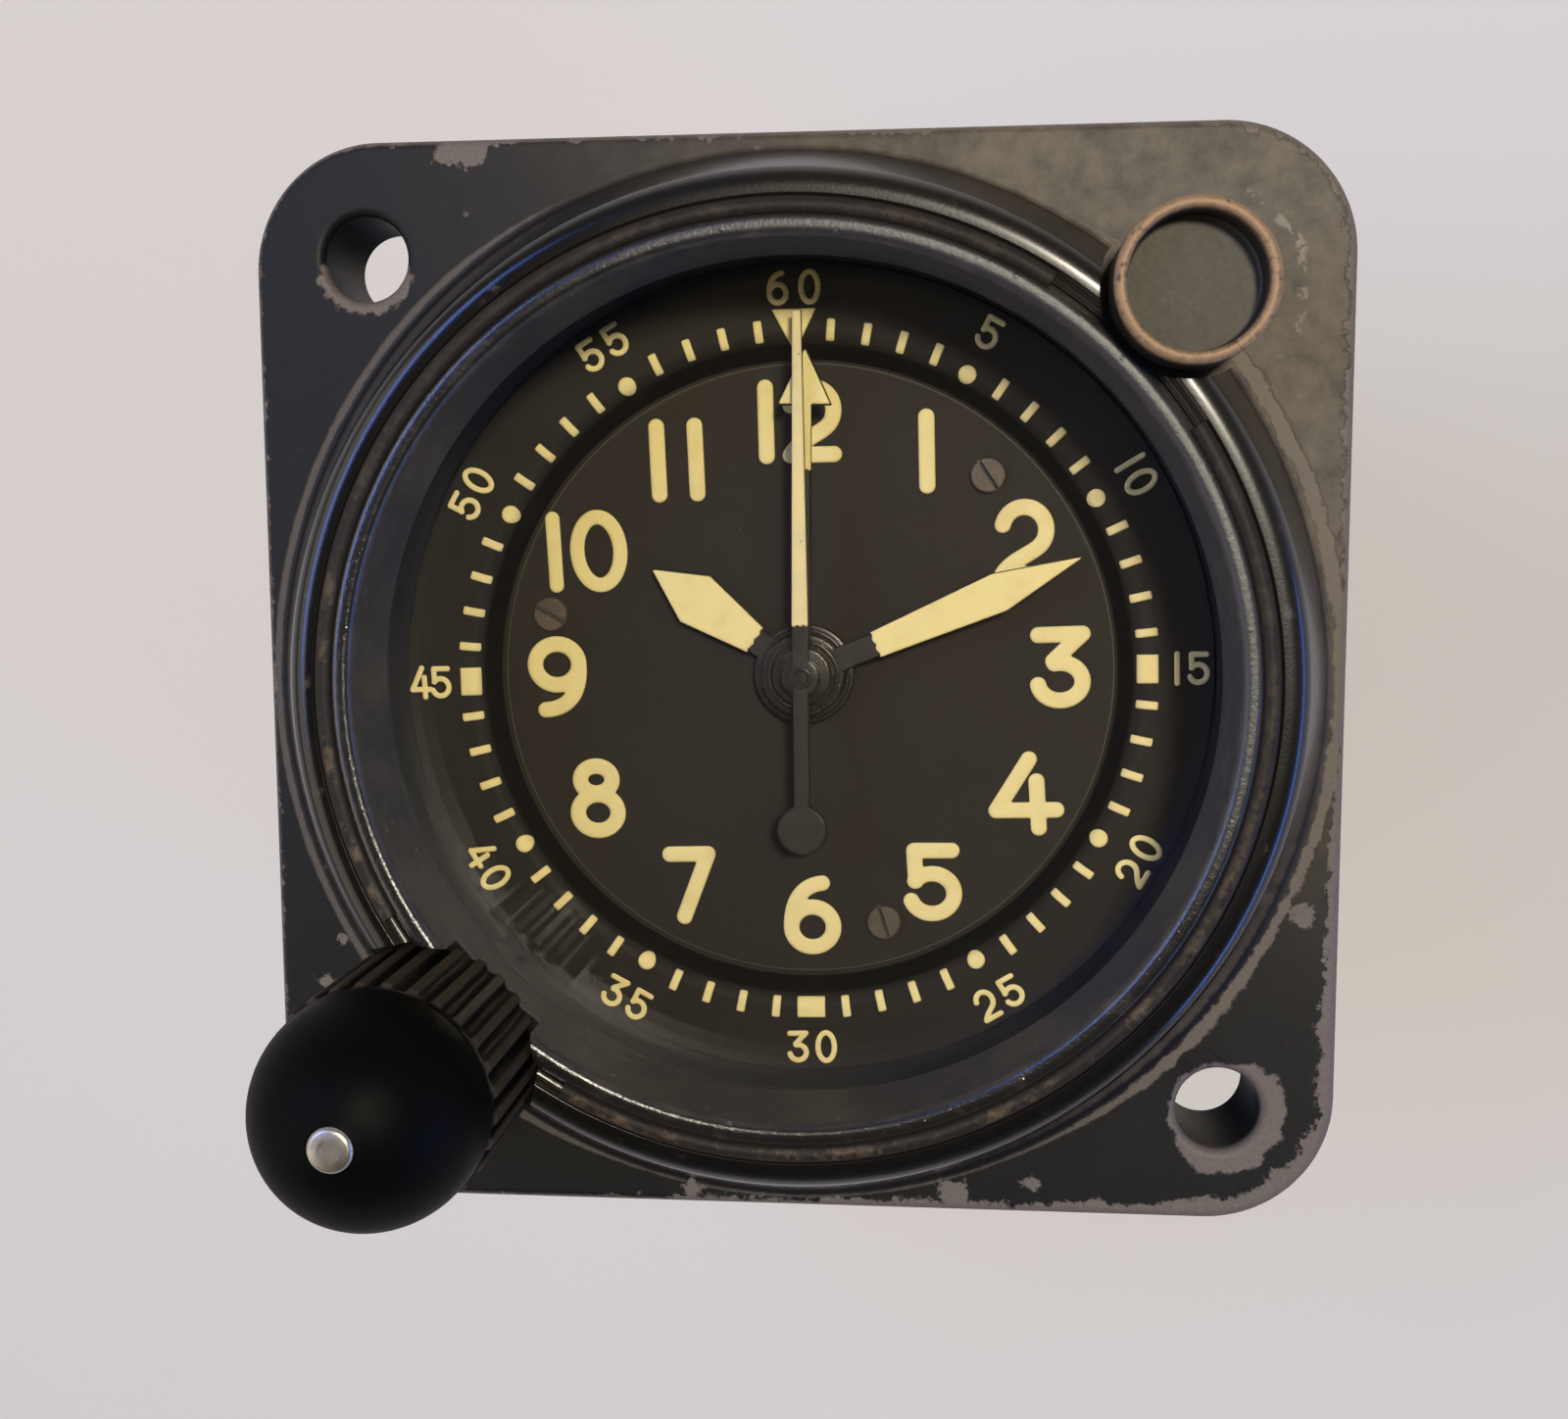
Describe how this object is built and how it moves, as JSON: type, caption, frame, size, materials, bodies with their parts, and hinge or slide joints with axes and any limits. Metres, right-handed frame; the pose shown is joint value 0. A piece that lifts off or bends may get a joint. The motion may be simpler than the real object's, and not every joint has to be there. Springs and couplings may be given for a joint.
{
  "type": "aircraft panel clock",
  "caption": "Square-flanged cockpit clock with a round glazed dial, elapsed-time hands, a fluted winding knob at one corner and a reset pusher at the opposite one.",
  "frame": {"origin": "centre of the mounting-hole circle on the flange's rear face, on the hands' axis", "axes": "+Z out of the dial towards the reader, +Y to 12 o'clock, +X to 3 o'clock"},
  "size_m": [0.0604, 0.0604, 0.0617],
  "materials": {
    "black_enamel": "glossy black paint, worn to grey metal at the edges",
    "dial_black": "matte black",
    "lume_cream": "matte aged cream on black metal",
    "knob_black": "black moulding with a dull sheen",
    "button_brass": "dark worn brass",
    "brass": "brushed brass",
    "steel": "plain steel",
    "blued_steel": "blued spring steel",
    "dark_steel": "browned steel",
    "dirty_wire": "brown with old dirt",
    "glass": "clear flat glass",
    "gasket": "matte black"
  },
  "bodies": {
    "case": {"front_flange": "black_enamel", "glass_ring": "black_enamel", "snap_ring": "dirty_wire", "crystal": "glass", "crystal_gasket": "gasket", "case_can": "black_enamel", "rear_cover": "black_enamel", "rear_cover_screws": "steel", "rear_posts": "brass", "chapter_ring": "dial_black", "dial": "dial_black", "dial_screws": "dark_steel", "dial_posts": "brass", "stem_bush": "brass", "front_plate": "brass", "back_plate": "brass", "plate_pillars": "brass", "plate_screws": "steel", "movement_screws": "steel", "wheel_studs": "steel", "balance_cock": "brass", "chrono_bridge": "brass", "pusher_bush": "brass"},
    "minute_works": {"minute_hand": "lume_cream", "cannon_pinion": "brass"},
    "hour_works": {"hour_hand": "lume_cream", "hour_wheel": "brass"},
    "minute_wheel_body": {"minute_wheel": "brass"},
    "setting_wheel_body": {"setting_wheel": "steel"},
    "seconds_works": {"sweep_seconds_hand": "lume_cream", "sweep_arbor": "steel"},
    "elapsed_works": {"elapsed_minute_hand": "lume_cream", "elapsed_wheel": "brass"},
    "recorder_body": {"recorder_wheel": "brass"},
    "yoke_body": {"setting_yoke": "steel"},
    "stem_body": {"winding_knob": "knob_black", "knob_pin": "steel", "winding_stem": "steel"},
    "crown_body": {"crown_wheel": "steel"},
    "arbor_body": {"barrel_arbor": "steel", "ratchet_wheel": "steel"},
    "click_body": {"click": "steel"},
    "barrel_body": {"barrel_drum": "brass", "barrel_cover": "brass", "mainspring": "blued_steel"},
    "intermediate_body": {"intermediate_wheel": "brass"},
    "centre_body": {"centre_wheel": "brass"},
    "third_body": {"third_wheel": "brass"},
    "fourth_body": {"fourth_wheel": "brass"},
    "escape_body": {"escape_wheel": "brass"},
    "pallet_body": {"pallet_lever": "steel"},
    "balance_body": {"balance_wheel": "brass", "hairspring": "blued_steel"},
    "pusher_body": {"pusher_button": "button_brass", "pusher_stem": "steel", "pusher_spring": "steel"},
    "reset_body": {"reset_lever": "steel"}
  },
  "joints": [
    {"name": "minute_hand_turn", "type": "hinge", "parent": "case", "child": "minute_works", "pos_m": [0, 0, 0], "axis": [0, 0, -1], "continuous": true},
    {"name": "hour_hand_turn", "type": "hinge", "parent": "case", "child": "hour_works", "pos_m": [0, 0, 0], "axis": [0, 0, -1], "continuous": true},
    {"name": "minute_wheel_turn", "type": "hinge", "parent": "case", "child": "minute_wheel_body", "pos_m": [-0.00834, -0.00834, -0.0055], "axis": [0, 0, -1], "continuous": true},
    {"name": "setting_wheel_turn", "type": "hinge", "parent": "case", "child": "setting_wheel_body", "pos_m": [-0.01669, -0.01669, -0.0055], "axis": [0, 0, -1], "continuous": true},
    {"name": "seconds_hand_turn", "type": "hinge", "parent": "case", "child": "seconds_works", "pos_m": [0, 0, 0], "axis": [0, 0, -1], "continuous": true},
    {"name": "elapsed_hand_turn", "type": "hinge", "parent": "case", "child": "elapsed_works", "pos_m": [0, 0, 0], "axis": [0, 0, -1], "continuous": true},
    {"name": "recorder_turn", "type": "hinge", "parent": "case", "child": "recorder_body", "pos_m": [-0.00863, -0.00314, -0.027], "axis": [0, 0, -1], "continuous": true},
    {"name": "knob_pull", "type": "slide", "parent": "case", "child": "yoke_body", "axis": [0, 0, 1], "range_m": [0, 0.0014]},
    {"name": "knob_turn", "type": "hinge", "parent": "yoke_body", "child": "stem_body", "pos_m": [-0.02086, -0.02086, 0.01], "axis": [0, 0, -1], "continuous": true},
    {"name": "crown_wheel_turn", "type": "hinge", "parent": "case", "child": "crown_body", "pos_m": [-0.01669, -0.01669, -0.007], "axis": [0, 0, -1], "continuous": true},
    {"name": "ratchet_turn", "type": "hinge", "parent": "case", "child": "arbor_body", "pos_m": [-0.01567, -0.00839, -0.007], "axis": [0, 0, -1], "continuous": true},
    {"name": "click_lift", "type": "hinge", "parent": "case", "child": "click_body", "pos_m": [-0.0231, -0.0041, -0.007], "axis": [0, 0, 1], "range_deg": [0, 10]},
    {"name": "fourth_wheel_turn", "type": "hinge", "parent": "case", "child": "fourth_body", "pos_m": [0.00665, 0.01077, -0.015], "axis": [0, 0, -1], "continuous": true},
    {"name": "third_wheel_turn", "type": "hinge", "parent": "case", "child": "third_body", "pos_m": [-0.00164, 0.00931, -0.012], "axis": [0, 0, -1], "continuous": true},
    {"name": "centre_wheel_turn", "type": "hinge", "parent": "case", "child": "centre_body", "pos_m": [0, 0, -0.014], "axis": [0, 0, -1], "continuous": true},
    {"name": "intermediate_turn", "type": "hinge", "parent": "case", "child": "intermediate_body", "pos_m": [-0.00965, -0.00139, -0.018], "axis": [0, 0, -1], "continuous": true},
    {"name": "barrel_turn", "type": "hinge", "parent": "case", "child": "barrel_body", "pos_m": [-0.01567, -0.00839, -0.014], "axis": [0, 0, -1], "continuous": true},
    {"name": "escape_turn", "type": "hinge", "parent": "case", "child": "escape_body", "pos_m": [0.01077, 0.00362, -0.024], "axis": [0, 0, -1], "continuous": true},
    {"name": "pallet_rock", "type": "hinge", "parent": "case", "child": "pallet_body", "pos_m": [0.01201, -0.00101, -0.0247], "axis": [0, 0, 1], "range_deg": [-5, 5]},
    {"name": "balance_swing", "type": "hinge", "parent": "case", "child": "balance_body", "pos_m": [0.01357, -0.00681, -0.0277], "axis": [0, 0, 1], "range_deg": [-150, 150], "stiffness_Nm_per_rad": 0.000002},
    {"name": "pusher_press", "type": "slide", "parent": "case", "child": "pusher_body", "axis": [0, 0, -1], "range_m": [0, 0.0022], "stiffness_N_per_m": 800, "springref_m": -0.001, "deforming": ["pusher_spring"]},
    {"name": "reset_lever_turn", "type": "hinge", "parent": "case", "child": "reset_body", "pos_m": [0.0044, 0.01642, -0.0295], "axis": [0, 0, -1], "range_deg": [0, 3.3]}
  ],
  "couplings": [
    {"joint": "hour_hand_turn", "follows": "minute_hand_turn", "ratio": 0.083333},
    {"joint": "minute_wheel_turn", "follows": "minute_hand_turn", "ratio": -0.33333},
    {"joint": "setting_wheel_turn", "follows": "minute_hand_turn", "ratio": 1},
    {"joint": "recorder_turn", "follows": "seconds_hand_turn", "ratio": -0.125},
    {"joint": "elapsed_hand_turn", "follows": "seconds_hand_turn", "ratio": 0.016667},
    {"joint": "crown_wheel_turn", "follows": "knob_turn", "ratio": -1},
    {"joint": "ratchet_turn", "follows": "knob_turn", "ratio": 0.54545},
    {"joint": "third_wheel_turn", "follows": "fourth_wheel_turn", "ratio": -0.13333},
    {"joint": "centre_wheel_turn", "follows": "fourth_wheel_turn", "ratio": 0.016667},
    {"joint": "intermediate_turn", "follows": "fourth_wheel_turn", "ratio": -0.0041667},
    {"joint": "barrel_turn", "follows": "fourth_wheel_turn", "ratio": 0.00069444},
    {"joint": "escape_turn", "follows": "fourth_wheel_turn", "ratio": -10},
    {"joint": "reset_lever_turn", "follows": "pusher_press", "rad_per_m": 25.387}
  ]
}
